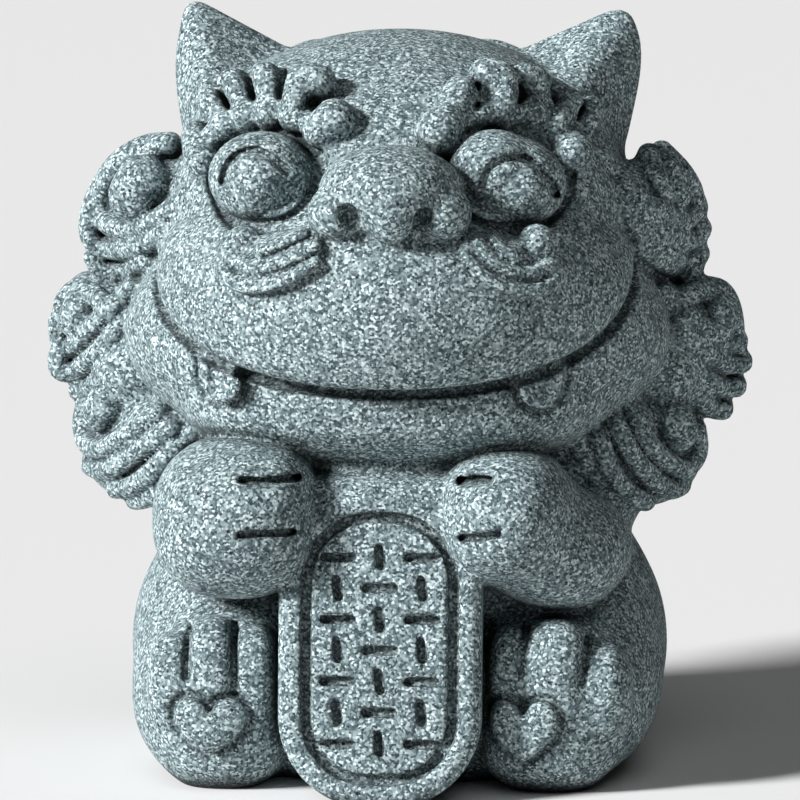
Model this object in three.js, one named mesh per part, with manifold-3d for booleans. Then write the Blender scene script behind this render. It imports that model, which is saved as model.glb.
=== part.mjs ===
// A seated guardian lion that holds a long coin-shaped tablet, cast in one piece of pressed stone powder.
// Millimetres, +Z up, the face looks along -Y, the ground is Z = 0. Places on the front are [x, z] pairs.
import * as THREE from "three";
import { ConvexGeometry } from "three/addons/geometries/ConvexGeometry.js";
import { SimplifyModifier } from "three/addons/modifiers/SimplifyModifier.js";
import { mergeVertices } from "three/addons/utils/BufferGeometryUtils.js";
import Module from "manifold-3d";

// Driving dimensions: ground to ear tips, the head's half width, and how finely the whole is faceted.
const HEIGHT = 80;
const HEAD_HALF = 27.5;
const BEYOND = 120;
const FACETS = 9700;

// The large rounded forms, each an egg with its centre and three radii. Square over 2 fills its corners out.
const TORSO = { at: [0, 3, 18], radii: [24.5, 23, 22] };
const CHEST = { at: [0, -12, 27], radii: [15, 14, 11] };
const BREAST = { at: [-0.7, -19, 28.5], radii: [12.5, 8.2, 4.9], square: 4 };
const LAP = { at: [0, -9, 6], radii: [22, 13, 10] };
const HAUNCHES = [
  { at: [-15.8, 0, 12], radii: [13.2, 22, 15.5] },
  { at: [15.8, 0, 12], radii: [13.2, 22, 15.5] },
  { at: [-19.5, -13, 8], radii: [8.2, 12.5, 9] },
  { at: [19.8, -12, 9.5], radii: [8.2, 12.5, 9.6] },
];
const SHOULDERS = [-18, 18].map((x) => ({ at: [x, -6, 31], radii: [9, 12, 9.5] }));
const MANE = { at: [0, 5.5, 46.5], radii: [32.2, 18.5, 22.5] };
const RUFF = { at: [0, 1, 46], radii: [31, 11.5, 18] };
const SKULL = { at: [0, 0, 0.685 * HEIGHT], radii: [HEAD_HALF - 1.3, 26.2, 23.2], square: 2.1 };
const JAW = { at: [0, -6, 46.2], radii: [HEAD_HALF + 1.5, 23.5, 14.7] };
const MUZZLE = { at: [0, -8.5, 50], radii: [HEAD_HALF - 0.9, 25.5, 17] };
const FACE = [SKULL, JAW, MUZZLE];

// The smile: half a squared oval that the upper lip ends at, seen from the front.
const SMILE = { halfWidth: 25, cornerZ: 54.8, lowZ: 42.8, squareness: 2.3, gap: 1 };
const FANG = { x: 16.2, z: 43.2, radii: [2.7, 1.4, 3.3] };

// The nose: its ridge, and places from the ridge's middle of the tip, the wings and the slanting nostrils.
const NOSE = { at: [0.3, 62.4], radii: [7.4, 7.8, 4.8], wing: [2.5, 3.2, 2.6], nostril: [0.95, 0.7] };
const NOSE_TIP = { at: [0.4, -4.8, -1.4], radii: [3.4, 3.9, 3.5] };
const WINGS = [[-5.7, -3.4, -1.9], [5.8, -3.4, -1.9]];
const NOSTRILS = [
  [[-3.9, -6.4, -1.3], [-3.5, -6.2, -2.5], [-2.9, -5.8, -3.6]],
  [[3.3, -6.4, -1.6], [2.9, -6.4, -2.8], [2.1, -6, -4.1]],
];

// Each eye: lid bosses and a ball, each as x, z and its radii, and the crease's two end radii and path.
const EYES = [
  {
    lid: [[-12.9, 63.5, 5.4, 4.8]],
    ball: [-13.4, 62.7, 3.8],
    crease: [
      0.8,
      0.45,
      [[-17.1, 63.2], [-16.5, 64.8], [-15.4, 66], [-14, 66.4], [-12.6, 66.1], [-11.4, 65.3], [-10.4, 64.4]],
    ],
  },
  {
    lid: [[10.5, 64.4, 4.7, 4.1], [12.9, 62.9, 5, 4.6]],
    ball: [13.4, 62.3, 3.5],
    crease: [
      0.75,
      0.4,
      [[9.5, 63.2], [10.3, 64.9], [11.9, 65.8], [13.7, 65.7], [15.2, 64.8], [16.3, 63.4], [16.8, 62]],
    ],
  },
];
const LID_DEPTH = 5.6;

// The ears, left then right: corners of a leaning pyramid, its tip first, and how round its corners are.
const EARS = [
  {
    round: 1.6,
    corners: [
      [-22.4, 5, 79.3], [-23.6, 3, 73], [-10.4, 5, 72.9], [-22.2, 3, 66], [-17.6, -10, 64.5], [-16, 12, 63],
    ],
  },
  {
    round: 2.1,
    corners: [
      [22.9, 4, 77.8], [24.3, 3, 74.5], [11.1, 4, 72.6], [22.4, 3, 66], [18, -10, 64.5], [16, 12, 63],
    ],
  },
];

// Brow locks, left then right: root radius, tip radius and path, from the edge over the eye.
const BROWS = [
  [2.1, 2.4, [[-7.6, 68.2], [-5.7, 69.2]]],
  [1.8, 1.9, [[-9.9, 69.6], [-9.9, 71.9], [-9.0, 73.2], [-7.6, 73]]],
  [1.6, 1.7, [[-12.6, 69.6], [-13, 72], [-13.4, 73.3]]],
  [1.6, 1.7, [[-15.1, 69.2], [-16.2, 71.4], [-16.9, 72.6]]],
  [1.3, 1.3, [[-17.6, 68.3], [-18.7, 69.8], [-19.4, 70.8]]],
  [1.7, 1.8, [[-20.9, 67], [-20.4, 65.6], [-19.9, 64.7]]],
  [2.4, 2.4, [[4.8, 68], [5.3, 68.6]]],
  [1.9, 1.9, [[5, 68.4], [6.9, 71.2]]],
  [2.2, 2.2, [[6.7, 71], [7.2, 71.7]]],
  [1.7, 1.75, [[11, 69.9], [11.6, 72.2], [10.8, 73.6], [9.6, 73.8]]],
  [1.5, 1.5, [[14.1, 69.2], [15, 71.1], [14.7, 72.9], [13.5, 73.4]]],
  [1.6, 1.45, [[16, 68], [17.7, 69.3], [18.1, 70.6]]],
  [1.1, 1.1, [[19.6, 68.4], [20.6, 70.1]]],
  [2.1, 2.1, [[17.6, 67], [18.6, 65.8]]],
];
const BROW_EDGES = [
  [1.25, 1.2, [[-19.2, 66.5], [-18, 67.7], [-16, 68.8], [-13.9, 69.5], [-11.3, 69.4], [-9.1, 68.4]]],
  [1.25, 1.3, [[7.8, 68], [9.7, 69], [12.1, 69.2], [14.5, 68.3], [16.6, 66.9]]],
];
const BROW_BED = [[8.6, 70.4], [12, 71.2], [15.5, 70.4], [18.4, 68.8]];

// The tuft under each eye: whisker locks round a small ball, on a low bed.
const TUFTS = [
  [0.85, 1.0, [[-8.6, 58.4], [-11.2, 57.3], [-13.4, 56.5]]],
  [0.8, 0.95, [[-7.3, 57.7], [-10.2, 55.9], [-12.8, 55], [-14.6, 54.9]]],
  [0.9, 1.2, [[-6.7, 57], [-9.4, 54.8], [-12.4, 53.5], [-15.2, 53.4]]],
  [1.1, 1.1, [[-13.5, 57.4], [-14.9, 57.7], [-16, 57], [-16.6, 55.4], [-16.3, 54]]],
  [2.0, 2.0, [[15, 57.3], [15.4, 57.2]]],
  [0.9, 1.2, [[8.6, 57.8], [9.9, 55.7], [11.3, 54.3], [13.3, 53.4], [15.6, 53.2], [17.3, 54.1], [17.8, 55]]],
  [0.85, 1.0, [[9.7, 58], [11.2, 56.4], [12.7, 55.4], [14.4, 54.9], [16, 55]]],
  [0.8, 0.9, [[10.8, 58.3], [12.2, 57.2], [13.2, 56.7]]],
];
const TUFT_BEDS = [
  [1.4, 2.1, [[-7.8, 57.4], [-12, 55.8], [-15, 55.4]]],
  [1.4, 2.1, [[9.4, 57], [12.4, 55.4], [15.6, 55.2]]],
];

// The mane's side curls lie on slopes that run back from the cheek: start in x and y, and fall by grade.
const TOP = { x: 22, y: -12.4, grade: 1.04 };
const MIDDLE = { x: 28, y: -9, grade: 1.1 };
const LOW = { x: 20, y: -17, grade: 0.95 };
const BOSS_DEPTH = 6;
const STRAND = 1.2;
const BUTTON_RISE = 0.8;
const LOCK_RISE = 0.6;
const SIDE_CURLS = [
  {
    slope: TOP,
    boss: [-27.4, 58.8, 5.9, 6.8],
    button: [2.9, [[-26.9, 62.1], [-27.7, 60.7]]],
    locks: [
      [
        [-25.9, 64.9], [-28.3, 64.7], [-30.7, 62.6], [-32, 59.6], [-31.7, 57.5], [-29.2, 56.8], [-25.8, 57.9],
        [-22.8, 60],
      ],
      [
        [-24.2, 66], [-27.3, 65.4], [-30.9, 62.8], [-32.9, 59.6], [-33.5, 56.6], [-32.8, 54.9], [-30.6, 54.4],
        [-27, 55.4], [-23, 57.6],
      ],
      [[-33, 53.4], [-32.2, 52.2], [-29.8, 52], [-26.5, 53.6]],
    ],
  },
  {
    slope: MIDDLE,
    boss: [-33.2, 44.6, 4.6, 6.6],
    button: [1.9, [[-34.6, 48], [-35.1, 46.4]]],
    locks: [
      [[-36.4, 47.6], [-36, 49], [-34.5, 49.9], [-32.6, 49.6], [-31, 48.3]],
      [[-28.4, 50.4], [-32.2, 46.8], [-34.7, 44.3], [-36.2, 43.5], [-36.8, 44.8], [-36.9, 46.4]],
      [[-28.4, 47.6], [-32.4, 43.4], [-35.1, 41.1], [-36.8, 41.2], [-37, 42.6]],
      [[-28.4, 44.8], [-31, 41.6], [-32.9, 39.7], [-34.8, 38.9]],
    ],
  },
  {
    slope: LOW,
    boss: [-28.4, 33.8, 6.6, 6.4],
    button: [2.2, [[-30.9, 38.6], [-31.8, 37.2]]],
    locks: [
      [[-24, 38.8], [-28.8, 35.1], [-31.8, 33.3], [-33.8, 33.7], [-34.3, 35.7], [-33.9, 37.8]],
      [[-23, 37], [-28.4, 32.8], [-31.2, 31], [-33.2, 31.1]],
      [[-21.4, 35.8], [-25.3, 32.1], [-28, 29.8], [-30.2, 29.1]],
      [[-21, 32.8], [-25.3, 29.2], [-28, 28]],
    ],
  },
  {
    slope: TOP,
    boss: [26.9, 58.2, 5.2, 6.4],
    button: [1.4, [[28.8, 63.4], [29.8, 60.6]]],
    locks: [
      [[26.6, 64.8], [27.2, 63], [28.4, 60.6]],
      [[28, 65], [30.1, 62.8], [31.3, 60.7], [31.5, 59]],
      [[21.4, 64.8], [25.3, 60.6], [28, 59.1], [30.5, 58], [31.8, 58.8]],
      [[22, 62.4], [26.7, 58.1], [29.2, 56.4], [31.4, 55.6], [32.3, 56.6]],
      [[23.4, 59], [29.5, 54], [31.3, 53.3], [32.1, 53.9]],
      [[25.6, 55.4], [30.2, 52.1], [31.4, 52.1]],
    ],
  },
  {
    slope: MIDDLE,
    boss: [33, 43.8, 4.4, 7.4],
    button: [1.7, [[34.2, 48.3], [34.3, 46.8]]],
    locks: [
      [[29.8, 49.2], [32.2, 50.2], [34.1, 50], [35.2, 48.6], [35.8, 46.4]],
      [[28.4, 50.2], [32.3, 46.6], [34.5, 44.8], [36.3, 44.5]],
      [[28.4, 49], [32.3, 44.5], [35.1, 42.3], [36.8, 42.3]],
      [[28.8, 46.8], [31.9, 42], [34.3, 39.9], [36.2, 39.7]],
      [[28.2, 44.4], [31.4, 40], [33.3, 37.6], [34.8, 37.2]],
    ],
  },
  {
    slope: LOW,
    boss: [26.4, 33.6, 6.4, 6.2],
    button: [2.3, [[29.5, 36.4], [29.7, 35.9]]],
    locks: [
      [[24.6, 38.8], [26.6, 35], [28.8, 32.7], [30.7, 31.7], [32, 33], [31.8, 35.2]],
      [[22.8, 38], [25, 33.7], [27.2, 31.1], [29, 29.6], [30.2, 29.8]],
      [[21, 37], [22.6, 32.6], [24.4, 30], [26.4, 28.6]],
      [[19, 36.4], [20.5, 32.2], [21.9, 30], [23.3, 28.8]],
    ],
  },
];

// Plainer curls over the back of the mane, in rows: height, distance back, backward tilt, and places across.
const BACK_ROWS = [
  { z: 73, y: 15, tilt: 50, size: 0.9, across: [-9.4, 9.4] },
  { z: 63, y: 23, tilt: 24, size: 1.1, across: [-17, 0, 17] },
  { z: 49.5, y: 25.5, tilt: 4, size: 1.15, across: [-25, -8.6, 8.6, 25] },
  { z: 36, y: 22.5, tilt: -18, size: 1.15, across: [-17, 0, 17] },
];

// Each arm's eggs, and the slots between its fingers.
const ARMS = [
  [
    { at: [-16.2, -20.4, 28.3], radii: [8.5, 12.4, 8.3], square: 2.3, rim: 0.1 },
    { at: [-12.2, -22.2, 29.4], radii: [5.1, 9.8, 6.9], square: 3, rim: 0.1 },
  ],
  [
    { at: [11.8, -21.5, 28.9], radii: [7.2, 11, 7.2], square: 2.3, rim: 0.1 },
    { at: [17.2, -16, 24.6], radii: [7.8, 12, 6.4] },
  ],
];
const FINGER_SLOT = 0.6;
const FINGER_SINK = 0.2;
const FINGER_SLOTS = [
  [[[-14.6, 33.7], [-12.6, 33.4], [-10.4, 33.7], [-7.6, 33.5]], [[-14.7, 28.2], [-11.3, 28.3], [-7.6, 28.2]]],
  [[[11.5, 33.5], [9, 33.4], [5.6, 32.7]], [[12, 28.5], [9.4, 28], [5.8, 27.4]]],
];

const TABLET = { x: -0.8, half: 10.4, top: 33.5, corner: 9.4, bevel: 1.4, front: -32, back: -20, lean: 8 };
const RING = { inset: 2.35, width: 1.1, depth: 0.75 };
const STROKES = { rows: 7, columns: 3, across: 4.3, low: 7, high: 27.2, width: 0.9, depth: 0.8 };

const FEET = [
  { at: [-17.6, -18.6, 8.4], radii: [7.2, 7.6, 9.4], square: 2.5 },
  { at: [16.4, -18.8, 8.4], radii: [7.8, 7.8, 9.4], square: 2.5 },
];
const TOES = [
  { at: [-22.3, 11.2], radii: [3, 4, 5.1] },
  { at: [-18.4, 12.1], radii: [3.3, 4.4, 5.9] },
  { at: [-14.3, 11.6], radii: [3, 4, 5.6] },
  { at: [12, 11.9], radii: [3, 4, 5.5] },
  { at: [16.9, 12.1], radii: [4.1, 4.4, 6.1] },
  { at: [21.8, 10.2], radii: [3, 4, 5.2] },
];
const TOE_RELIEF = 0.8;
const TOE_SLOT = 0.5;
const TOE_SLOTS = [
  [[-20.7, 16.6], [-20.8, 14.6], [-20.9, 12.2]],
  [[-16.2, 17], [-16, 14.4], [-15.9, 11.4]],
  [[14.1, 17], [13.6, 15.5], [13.5, 13]],
  [[20.2, 15.9], [19.9, 14.2], [19.6, 12.2]],
];
const PADS = [
  { foot: 0, x: -17.8, z: 7, width: 7.6, height: 6.4 },
  { foot: 1, x: 14.8, z: 7, width: 7.5, height: 6.8 },
];
const PAD_RELIEF = 1;

const TAIL = { y: 23.5, foot: 4, top: 23, locks: 3, spread: 5.6, radius: 4 };

const STONE = new THREE.MeshStandardMaterial({ color: 0x87908f, roughness: 0.85, metalness: 0 });

const wasm = await Module();
wasm.setup();
const { Manifold, Mesh } = wasm;
const FRONT = new THREE.Vector3(0, -1, 0);
const BACK = new THREE.Vector3(0, 1, 0);
const UP = new THREE.Vector3(0, 0, 1);
const { degToRad, lerp, clamp } = THREE.MathUtils;

// A closed three.js geometry as a solid that can be joined and cut, its faces turned outward.
function solidOf(geometry) {
  geometry.deleteAttribute("normal");
  geometry.deleteAttribute("uv");
  const merged = mergeVertices(geometry, 1e-4);
  const vertProperties = merged.attributes.position.array;
  const made = (triVerts) => new Manifold(new Mesh({ numProp: 3, vertProperties, triVerts }));
  const corners = Uint32Array.from(merged.index.array);
  const solid = made(corners);
  return solid.volume() > 0 ? solid : made(corners.reverse());
}

// A solid's mesh as a three.js geometry.
function geometryOf(solid) {
  const { vertProperties, triVerts } = solid.getMesh();
  return new THREE.BufferGeometry()
    .setAttribute("position", new THREE.BufferAttribute(vertProperties, 3))
    .setIndex(new THREE.BufferAttribute(triVerts, 1));
}

// An egg: a faceted ball with three radii. Square fills out its corners and grade shears its sides back.
function egg({ at, radii, square = 2, grade = 0 }, detail = 4) {
  const shape = new THREE.IcosahedronGeometry(1, detail);
  const place = shape.attributes.position;
  for (let i = 0; i < place.count; i++) {
    const spot = [place.getX(i), place.getY(i), place.getZ(i)];
    const size = spot.reduce((sum, v) => sum + Math.abs(v) ** square, 0) ** (1 / square);
    const [x, y, z] = spot.map((v, axis) => at[axis] + (radii[axis] * v) / size);
    place.setXYZ(i, x, y + grade * (Math.abs(x) - Math.abs(at[0])), z);
  }
  return solidOf(shape);
}

// The depth at which an egg's front is met at a place seen from the front, or Infinity where it misses.
function frontOf({ at, radii, square = 2, grade = 0, rim = 0 }, x, z) {
  const away = Math.abs((x - at[0]) / radii[0]) ** square + Math.abs((z - at[2]) / radii[2]) ** square;
  const left = Math.max(1 - away, rim);
  const middle = at[1] + grade * (Math.abs(x) - Math.abs(at[0]));
  return left > 0 ? middle - radii[1] * left ** (1 / square) : Infinity;
}
const nearest = (forms, x, z) => Math.min(...forms.map((form) => frontOf(form, x, z)), 0);

// A front path laid on forms, as far proud of them as told.
function laidOn(forms, path, proud = 0) {
  return path.map(([x, z]) => new THREE.Vector3(x, nearest(forms, x, z) - proud, z));
}

// A lock: a round-ended form along a curve, as thick at its root and tip as told.
function lock(points, rootRadius, tipRadius = rootRadius, facing = FRONT, sides = 9) {
  const steps = 5 + 2 * points.length;
  const curve = new THREE.CatmullRomCurve3(points);
  const shape = new THREE.SphereGeometry(1, sides, steps);
  const place = shape.attributes.position;
  const [side, rise] = [new THREE.Vector3(), new THREE.Vector3()];
  const reach = curve.getLength() + rootRadius + tipRadius;
  for (let i = 0; i < place.count; i++) {
    const [x, y, z] = [place.getX(i), place.getY(i), place.getZ(i)];
    const distance = (reach * (1 - y)) / 2 - rootRadius;
    const along = clamp(distance / curve.getLength(), 0, 1);
    const past = distance - along * curve.getLength();
    const radius = lerp(rootRadius, tipRadius, along);
    const ring = Math.hypot(x, z);
    const scale = ring > 1e-6 ? Math.sqrt(Math.max(0, radius ** 2 - past ** 2)) / ring : 0;
    const tangent = curve.getTangentAt(along);
    side.crossVectors(tangent, facing).normalize();
    rise.crossVectors(side, tangent).normalize();
    const spot = curve.getPointAt(along).addScaledVector(tangent, past);
    spot.addScaledVector(side, x * scale).addScaledVector(rise, -z * scale);
    place.setXYZ(i, spot.x, spot.y, spot.z);
  }
  return solidOf(shape);
}

const BEVELLED = { bevelEnabled: true, bevelSegments: 1 };

// An outline drawn from the front, pushed from one depth back to another.
function pushed(outline, front, back, options = {}) {
  const shape = outline instanceof THREE.Shape ? outline : new THREE.Shape(outline);
  const settings = { depth: back - front, bevelEnabled: false, ...options };
  const made = new THREE.ExtrudeGeometry(shape, settings);
  return made.rotateX(Math.PI / 2).scale(1, -1, 1).translate(0, front, 0);
}

// The smile's line as points seen from the front, left corner to right corner.
function smileLine(count) {
  const power = 2 / SMILE.squareness;
  return Array.from({ length: count }, (_, i) => {
    const angle = Math.PI * (1 + i / (count - 1));
    const across = Math.sign(Math.cos(angle)) * Math.abs(Math.cos(angle)) ** power;
    const drop = Math.abs(Math.sin(angle)) ** power;
    return new THREE.Vector2(SMILE.halfWidth * across, SMILE.cornerZ - (SMILE.cornerZ - SMILE.lowZ) * drop);
  });
}

function head() {
  const top = MUZZLE.at[2] + MUZZLE.radii[2] + 1;
  const wide = MUZZLE.radii[0] + 1;
  const frame = [[wide, SMILE.cornerZ], [wide, top], [-wide, top], [-wide, SMILE.cornerZ]];
  const above = [...smileLine(41), ...frame.map(([x, z]) => new THREE.Vector2(x, z))];
  const lipRegion = solidOf(pushed(above, -BEYOND, MUZZLE.at[1]));
  const upperLip = egg(MUZZLE, 9).intersect(lipRegion);
  const line = smileLine(15).map(({ x, y }) => [x, y - 0.4]);
  const gap = lock(laidOn([SKULL, JAW], line), SMILE.gap, SMILE.gap, UP);
  return egg(SKULL, 8).add(egg(JAW, 8)).subtract(gap).add(upperLip);
}

function fangs() {
  return [-FANG.x, FANG.x].map((x) => egg({ at: [x, nearest([JAW], x, FANG.z), FANG.z], radii: FANG.radii }));
}

function nose() {
  const [x, z] = NOSE.at;
  const middle = new THREE.Vector3(x, nearest(FACE, 0, z), z);
  const set = (place) => new THREE.Vector3(...place).add(middle);
  const part = (place, radii) => egg({ at: set(place).toArray(), radii });
  const ridge = part([0, -0.6, 0], NOSE.radii);
  const tip = part(NOSE_TIP.at, NOSE_TIP.radii);
  const wings = WINGS.map((place) => part(place, NOSE.wing));
  const cuts = NOSTRILS.map((path) => lock(path.map(set), ...NOSE.nostril));
  return { added: [ridge, tip, ...wings], cuts };
}

// An eye: a round lid, and a ball under a deep crease.
function eye({ lid, ball: [x, z, radius], crease: [root, tip, path] }) {
  const lids = lid.map(([lidX, lidZ, wide, tall]) => {
    return { at: [lidX, nearest([SKULL], lidX, lidZ) + 0.6, lidZ], radii: [wide, LID_DEPTH, tall] };
  });
  const ball = { at: [x, nearest([SKULL], x, z) - 0.6, z], radii: [radius, radius + 0.9, radius] };
  const forms = [...lids, ball];
  const line = lock(laidOn(forms, path, 0.1), root, tip);
  return Manifold.union(forms.map((form) => egg(form))).subtract(line);
}

// Brow locks, and the tufts under the eyes, each on a low bed that it is half sunk in.
function hair() {
  const bed = [-1, 1].map((side) => [2.4, 2.2, BROW_BED.map(([x, z]) => [x * side, z])]);
  const layers = [
    [bed, [SKULL], -1.4],
    [BROW_EDGES, [SKULL], 0.5],
    [BROWS, [SKULL], 0.9],
    [TUFT_BEDS, FACE, -1.3],
    [TUFTS, FACE, 0.6],
  ];
  return layers.flatMap(([locks, ground, rise]) => {
    return locks.map(([root, tip, path]) => lock(laidOn(ground, path, rise), root, tip));
  });
}

// An ear: the hull of small balls at its corners.
function ear({ round, corners }) {
  const points = corners.flatMap(([x, y, z]) => {
    const ball = new THREE.IcosahedronGeometry(round, 2).translate(x, y, z).attributes.position;
    return Array.from({ length: ball.count }, (_, i) => new THREE.Vector3().fromBufferAttribute(ball, i));
  });
  return solidOf(new ConvexGeometry(points));
}

// One of the mane's side curls: a boss on the slope, a button, and locks that sweep round it.
function sideCurl({ slope, boss: [x, z, width, height], button: [radius, path], locks }) {
  const y = slope.y + slope.grade * (Math.abs(x) - slope.x) + BOSS_DEPTH;
  const radii = [width, BOSS_DEPTH, height];
  const boss = { at: [x, y, z], radii, grade: slope.grade, square: 2.4, rim: 0.1 };
  const button = lock(laidOn([boss], path, BUTTON_RISE), radius);
  return [egg(boss, 5), button, ...locks.map((line) => lock(laidOn([boss], line, LOCK_RISE), STRAND))];
}

// A plain snail curl for the back, its face along +Z, placed by row.
function backCurl({ z, y, tilt, size }, x) {
  const spiral = Array.from({ length: 6 }, (_, i) => {
    const angle = degToRad(lerp(200, 480, i / 5));
    const reach = lerp(5.4, 3.2, i / 5);
    return new THREE.Vector3(reach * Math.cos(angle), reach * Math.sin(angle), 0.4);
  });
  const parts = [
    egg({ at: [0, 0, -3.4], radii: [7.6, 7.2, 4.6] }),
    egg({ at: [0, 0, 0.4], radii: [2.6, 2.6, 2.4] }, 2),
    lock(spiral, 1.8, 1.3, UP, 8),
  ];
  const frame = new THREE.Matrix4().makeTranslation(x, y - 0.014 * x * x, z);
  frame.multiply(new THREE.Matrix4().makeRotationZ(Math.PI - degToRad(2.2 * x)));
  frame.multiply(new THREE.Matrix4().makeRotationX(Math.PI / 2 - degToRad(tilt)));
  frame.multiply(new THREE.Matrix4().makeScale(x > 0 ? -size : size, size, size));
  return parts.map((part) => part.transform(frame.toArray()));
}

function mane() {
  const back = BACK_ROWS.flatMap((row) => row.across.flatMap((x) => backCurl(row, x)));
  return [egg(MANE, 5), egg(RUFF, 5), ...SIDE_CURLS.flatMap(sideCurl), ...back];
}

function arms() {
  return ARMS.map((forms, i) => {
    const cuts = FINGER_SLOTS[i].map((path) => lock(laidOn(forms, path, -FINGER_SINK), FINGER_SLOT));
    return Manifold.union(forms.map((form) => egg(form, 5))).subtract(Manifold.union(cuts));
  });
}

// A rectangle with round corners, its half width and its lowest and highest point.
function roundedOutline(halfWidth, low, high, corner) {
  const shape = new THREE.Shape();
  shape.moveTo(-halfWidth + corner, low);
  shape.lineTo(halfWidth - corner, low);
  shape.absarc(halfWidth - corner, low + corner, corner, -Math.PI / 2, 0);
  shape.absarc(halfWidth - corner, high - corner, corner, 0, Math.PI / 2);
  shape.absarc(-halfWidth + corner, high - corner, corner, Math.PI / 2, Math.PI);
  shape.absarc(-halfWidth + corner, low + corner, corner, Math.PI, 1.5 * Math.PI);
  return shape;
}

function tablet() {
  const { x, half, top, corner, front, back, bevel, lean } = TABLET;
  const shrunk = (by) => roundedOutline(half - by, by, top - by, corner - by);
  const bevelled = { ...BEVELLED, bevelSize: bevel, bevelThickness: bevel, curveSegments: 8 };
  const plate = solidOf(pushed(shrunk(bevel), front + bevel, back, bevelled));
  const outer = shrunk(RING.inset);
  outer.holes.push(shrunk(RING.inset + RING.width));
  const ring = solidOf(pushed(outer, front - 1, front + RING.depth, { curveSegments: 8 }));
  const carved = plate.subtract(Manifold.union([ring, ...strokes()]));
  return carved.translate([0, -front, 0]).rotate([-lean, 0, 0]).translate([x, front, 0]);
}

// Rows of short strokes that are no letters: each leans its own way and none touches the next.
function strokes() {
  const made = [];
  for (let row = 0; row < STROKES.rows; row++) {
    for (let column = 0; column < STROKES.columns; column++) {
      const length = 2.9 + ((row + column) % 3) * 0.5;
      const shape = new THREE.BoxGeometry(length, 2 * STROKES.depth, STROKES.width);
      shape.rotateY(degToRad(((row * 2 + column * 3) % 5) * 36));
      const x = (column - (STROKES.columns - 1) / 2) * STROKES.across;
      const z = lerp(STROKES.low, STROKES.high, row / (STROKES.rows - 1));
      made.push(solidOf(shape.translate(x, TABLET.front, z)));
    }
  }
  return made;
}

function heartOutline(width, height) {
  const half = width / 2;
  const shape = new THREE.Shape();
  shape.moveTo(0, -height * 0.5);
  shape.bezierCurveTo(half * 0.5, -height * 0.3, half, -height * 0.1, half, height * 0.18);
  shape.bezierCurveTo(half, height * 0.6, half * 0.2, height * 0.6, 0, height * 0.3);
  shape.bezierCurveTo(-half * 0.2, height * 0.6, -half, height * 0.6, -half, height * 0.18);
  shape.bezierCurveTo(-half, -height * 0.1, -half * 0.5, -height * 0.3, 0, -height * 0.5);
  return shape;
}

// Feet with three toes each, slots between the toes, and a heart-shaped pad on the sole that faces forward.
function feet() {
  const toes = TOES.map(({ at: [x, z], radii }) => {
    return { at: [x, nearest(FEET, x, z) + radii[1] - TOE_RELIEF, z], radii, square: 2.5 };
  });
  const bevelled = { ...BEVELLED, bevelSize: 0.5, bevelThickness: 0.5, curveSegments: 5 };
  const pads = PADS.map(({ foot, x, z, width, height }) => {
    const front = nearest([FEET[foot]], x, z) - PAD_RELIEF;
    const heart = pushed(heartOutline(width - 1, height - 1), front, front + 8, bevelled);
    return solidOf(heart).translate([x, 0, z]);
  });
  const slots = TOE_SLOTS.map((path) => lock(laidOn(toes, path), TOE_SLOT));
  const whole = Manifold.union([...FEET.map((form) => egg(form, 5)), ...toes.map((form) => egg(form))]);
  return [whole.subtract(Manifold.union(slots)), ...pads];
}

function tail() {
  return Array.from({ length: TAIL.locks }, (_, i) => {
    const lean = (i - (TAIL.locks - 1) / 2) / ((TAIL.locks - 1) / 2);
    const top = TAIL.top - 6 * Math.abs(lean);
    const points = [
      new THREE.Vector3(lean * 2, TAIL.y - 2, TAIL.foot),
      new THREE.Vector3(lean * TAIL.spread, TAIL.y + 1.5, (TAIL.foot + top) / 2),
      new THREE.Vector3(lean * TAIL.spread, TAIL.y - 1, top),
    ];
    return lock(points, TAIL.radius, TAIL.radius * 0.6, BACK);
  });
}

function lion() {
  const trunk = [TORSO, CHEST, BREAST, LAP, ...HAUNCHES, ...SHOULDERS].map((form) => egg(form, 5));
  const body = [...trunk, ...arms(), ...feet(), tablet(), ...tail()];
  const { added, cuts } = nose();
  const face = [head(), ...added, ...EYES.map(eye), ...hair(), ...fangs(), ...EARS.map(ear)];
  const ground = solidOf(new THREE.BoxGeometry(BEYOND, BEYOND, HEIGHT).translate(0, 0, -HEIGHT / 2));
  return outerSkin(Manifold.union([...body, ...face, ...mane()]).subtract(Manifold.union([ground, ...cuts])));
}

// The one outer skin of a solid: a hollow sealed between its forms, or a loose crumb, has a skin of its own.
function outerSkin(solid) {
  return solid.decompose().sort((one, other) => other.volume() - one.volume())[0];
}

// Corners of two separate facets that fell on one place, each drawn a little toward its own neighbours.
function parted(geometry, share = 0.03) {
  const place = geometry.attributes.position;
  const corners = geometry.index.array;
  const spot = (i) => new THREE.Vector3().fromBufferAttribute(place, i);
  const held = Map.groupBy(Array(place.count).keys(), (i) => spot(i).toArray().join());
  for (const shared of [...held.values()].filter((found) => found.length > 1).flat()) {
    const neighbours = [];
    for (let i = 0; i < corners.length; i += 3) {
      const facet = [...corners.subarray(i, i + 3)];
      if (facet.includes(shared)) neighbours.push(...facet.filter((corner) => corner !== shared));
    }
    const sum = neighbours.reduce((total, i) => total.add(spot(i)), new THREE.Vector3());
    const middle = sum.divideScalar(neighbours.length);
    const moved = spot(shared).lerp(middle, share);
    place.setXYZ(shared, moved.x, moved.y, moved.z);
  }
  return geometry;
}

// The joined form, with its flattest facets merged until it holds no more than the driving number.
const fine = geometryOf(lion());
const spare = 1 - Math.min(1, (3 * FACETS) / fine.index.count);
const reduced = await new SimplifyModifier().modify(fine, spare * fine.attributes.position.count);
const geometry = parted(geometryOf(outerSkin(solidOf(reduced))));
geometry.computeBoundingBox();
const middle = geometry.boundingBox.getCenter(new THREE.Vector3());
geometry.translate(-middle.x, -middle.y, 0);
const figure = new THREE.Mesh(geometry, STONE);
figure.name = "lion";
const group = new THREE.Group();
group.add(figure);

export default group;
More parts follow.
